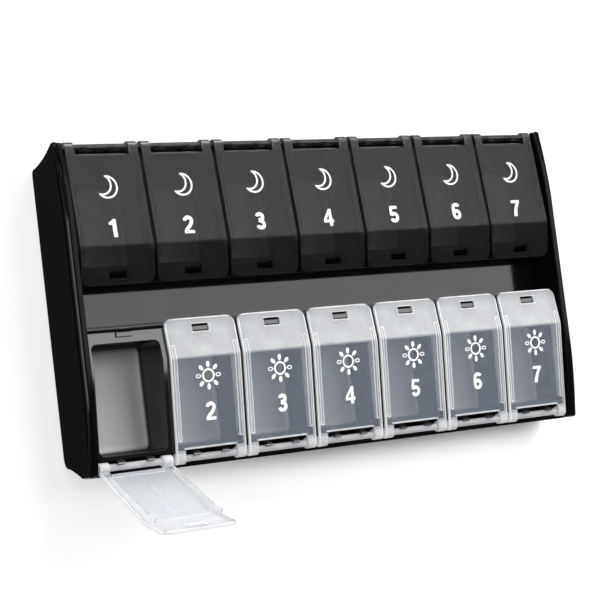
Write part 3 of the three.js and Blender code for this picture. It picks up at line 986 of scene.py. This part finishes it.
def number(value, centre_y):
    """A numeral as a thin raised print. Lines that cross differ in height by a hair."""
    pieces = []
    for i, (points, width) in enumerate(NUMERALS[value]):
        placed = [(NUMBER_X + x * NUMBER_HEIGHT * NUMBER_WIDTH,
                   centre_y + (y - 0.5) * NUMBER_HEIGHT) for x, y in points]
        bowl = value == 6 and i == 0
        faces = stroke(placed, width * NUMBER_HEIGHT, bowl) if width else [placed]
        pieces.append(flat(faces, PRINT_HEIGHT + 0.008 * i))
    return joined(*pieces)


def turn_half(mesh, centre_y):
    """Turns a numeral half round on its place, for the row whose lids face the other way."""
    about = Matrix.Translation((NUMBER_X * MM, centre_y * MM, 0))
    mesh.transform(about @ Matrix.Rotation(math.pi, 4, "Z") @ about.inverted())


def on_knuckle(face):
    return abs(face.center.x) > (LID_HALF - KNUCKLE_WIDTH) * MM and face.center.y < KNUCKLE * MM


for row in ("morning", "evening"):
    for day in range(DAYS):
        name = f"{row}_lid_{day + 1}"
        numeral = number(day + 1, NUMBER_Y[row])
        if row == "morning":
            angle = TILT + (OPEN_ANGLE if day == 0 else 0)
            hinge = Matrix.Translation((day_x(day) * MM, -HINGE_Y * MM, AXIS_Z * MM))
            sign, mat, slot = sun(), FROSTED, "lid_frosted"
        else:
            angle = TILT
            hinge = Matrix.Translation((day_x(day) * MM, HINGE_Y * MM, AXIS_Z * MM))
            hinge = hinge @ Matrix.Rotation(math.pi, 4, "Z")
            sign, mat, slot = moon(), SMOKED, "lid_smoked"
            turn_half(numeral, NUMBER_Y[row])
        place = hinge @ Matrix.Rotation(angle, 4, "X")
        lid = link(f"{name}_plastic", lid_mesh.copy(), mat, 35)
        if row == "evening":
            in_part(lid, KNUCKLES, on_knuckle)
        lid.matrix_world = place
        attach(lid, name)
        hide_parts(name)
        ink = link(f"{name}_print", joined(flat(sign), numeral), INK, 30)
        ink.matrix_world = place
        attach(ink, name)


# ---------------------------------------------------------------- floor, light and camera

STAGE_RADIUS = 6.0
FLOOR_Z = -0.0008
BACKDROP_TOP = 3.0
SHADOW_CENTRE = (0.11, -0.07, 0)
SHADOW_REACH = (0.12, 0.3)


def make_stage():
    """The pale floor, and a pale wall all round it that stands far off. In view, in reflections
    and through the lids both are pure white, apart from the floor round the object, which takes
    its shadow. To every other ray they are plain diffuse surfaces."""
    ring = circle(STAGE_RADIUS, 96)
    n = len(ring)
    floor = bpy.data.meshes.new("floor")
    floor.from_pydata([(x, y, FLOOR_Z) for x, y in ring], [], [tuple(range(n))])
    wall = bpy.data.meshes.new("backdrop")
    wall.from_pydata([(x, y, z) for z in (FLOOR_Z, BACKDROP_TOP) for x, y in ring], [],
                     [(k, (k + 1) % n, n + (k + 1) % n, n + k) for k in range(n)])

    made, tree = material("pale_floor")
    made.cycles.emission_sampling = "NONE"
    plain = add_node(tree, "ShaderNodeBsdfDiffuse", {"Color": (0.9, 0.9, 0.9, 1)})
    distance = tree.nodes.new("ShaderNodeVectorMath")
    distance.operation = "DISTANCE"
    away = feed(tree, distance, {0: own_place(tree), 1: SHADOW_CENTRE}).outputs["Value"]
    seen = add_node(tree, "ShaderNodeBsdfDiffuse", {
        "Color": spread(tree, away, 0.84, 0, *SHADOW_REACH),
    })
    glow = add_node(tree, "ShaderNodeEmission", {
        "Strength": spread(tree, away, 0.2, 1, *SHADOW_REACH),
    })
    both = add_node(tree, "ShaderNodeAddShader", {0: seen.outputs[0], 1: glow.outputs[0]})
    rays = tree.nodes.new("ShaderNodeLightPath").outputs
    shown = calc(tree, "MAXIMUM", rays["Is Camera Ray"], rays["Is Transmission Ray"])
    shown = calc(tree, "MAXIMUM", shown, rays["Is Glossy Ray"])
    mix = add_node(tree, "ShaderNodeMixShader", {
        0: shown, 1: plain.outputs[0], 2: both.outputs[0],
    })
    add_node(tree, "ShaderNodeOutputMaterial", {"Surface": mix.outputs[0]})
    for mesh in (floor, wall):
        mesh.materials.append(made)
        obj = bpy.data.objects.new(mesh.name, mesh)
        scene.collection.objects.link(obj)


def make_world():
    scene.world = bpy.data.worlds.new("studio")
    scene.world.use_nodes = True
    tree = scene.world.node_tree
    tree.nodes.clear()
    dim = add_node(tree, "ShaderNodeBackground", {"Color": (1, 1, 1, 1), "Strength": 0.06})
    add_node(tree, "ShaderNodeOutputWorld", {"Surface": dim.outputs[0]})


def softbox(name, place, towards, across_x, across_y, radiance):
    """A rectangular lamp at a place, facing a point, with the given radiance on its face. Its
    sides lie along X and Y as seen from below."""
    lamp = bpy.data.lights.new(name, "AREA")
    lamp.shape = "RECTANGLE"
    lamp.size, lamp.size_y = across_x, across_y
    lamp.energy = radiance * math.pi * across_x * across_y
    obj = bpy.data.objects.new(name, lamp)
    scene.collection.objects.link(obj)
    back = (Vector(place) - Vector(towards)).normalized()
    top = Vector((0, 1, 0))
    top = (top - back * top.dot(back)).normalized()
    turn = Matrix((top.cross(back), top, back)).transposed().to_4x4()
    obj.matrix_world = Matrix.Translation(place) @ turn


def make_camera(lens, place, right, up, back):
    """A camera at a place, with the directions of its own three axes."""
    data = bpy.data.cameras.new("camera")
    data.lens = lens
    data.sensor_width = 36
    data.clip_start = 0.01
    camera = bpy.data.objects.new("camera", data)
    scene.collection.objects.link(camera)
    turn = Matrix((right, up, back)).transposed().to_quaternion().to_matrix().to_4x4()
    camera.matrix_world = Matrix.Translation(place) @ turn
    scene.camera = camera


make_stage()
make_world()
softbox("key", (0.725, 0.32, 1.1), (0.725, 0.32, 0), 1.05, 0.6, 6)
softbox("key end", (0.725, 0.87, 1.1), (0.725, 0.87, 0), 1.05, 0.5, 2.5)
softbox("fill", (-0.65, 0.6, 2.5), (0, 0, 0), 1.9, 1.4, 3.0)
softbox("rim", (-2.3, 0.15, 1.7), (0, 0, 0), 1.3, 0.7, 7)
softbox("back", (0.9, 2.2, 1.5), (0, 0, 0), 1.5, 1.2, 8)
make_camera(107.2, (-0.3772, -0.0528, 0.6075), (0.8498, -0.1207, 0.5131),
            (0.0659, 0.9901, 0.1238), (-0.5230, -0.0714, 0.8493))

scene.view_settings.view_transform = "Standard"
